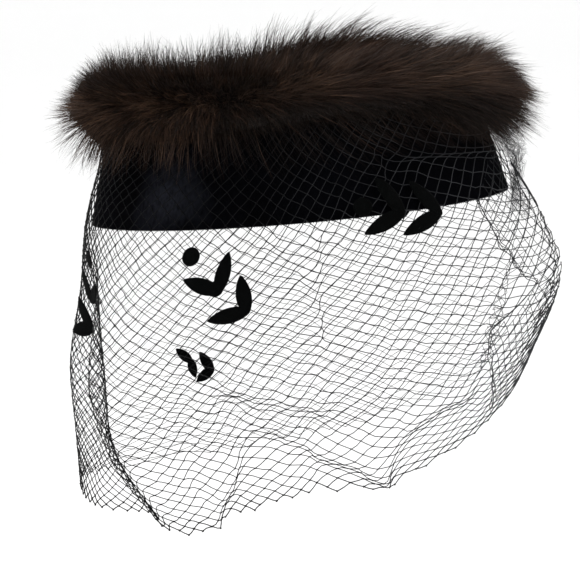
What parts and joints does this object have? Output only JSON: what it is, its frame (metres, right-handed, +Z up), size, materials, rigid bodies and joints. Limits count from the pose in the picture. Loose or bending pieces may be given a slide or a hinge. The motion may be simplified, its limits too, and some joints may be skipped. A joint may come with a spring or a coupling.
{
  "type": "fascinator",
  "caption": "Small evening hat: a flared velvet band and crown edged with long dark fur, and a net veil with flocked leaves and dots that hangs below the rim, bunched at the back.",
  "frame": {"origin": "centre of the head opening, in the plane of the band's lower rim, where the hat sits on the head", "axes": "+Z up, +X towards the back of the hat where the veil is bunched, -X towards the front, +Y towards the wearer's right; the hat is worn with its back tipped up 5 degrees"},
  "size_m": [0.2262, 0.1851, 0.213],
  "materials": {
    "velvet": "black velvet, short pile with a faint bluish sheen",
    "fur": "long dark brown fur, glossy guard hairs",
    "net": "fine dark grey knotted net",
    "flocking": "matt black flock"
  },
  "bodies": {
    "root": {"crown_band": "velvet", "crown_top": "velvet", "fur_trim": "fur", "veil": "net", "veil_gather": "net", "dot_1": "flocking", "dot_2": "flocking", "dot_3": "flocking", "dot_4": "flocking", "dot_5": "flocking", "leaf_pair_1": "flocking", "leaf_pair_2": "flocking", "leaf_pair_3": "flocking", "leaf_pair_4": "flocking", "leaf_pair_5": "flocking", "leaf_pair_6": "flocking", "leaf_pair_7": "flocking", "leaf_pair_8": "flocking", "leaf_pair_9": "flocking", "leaf_pair_10": "flocking"}
  },
  "joints": []
}
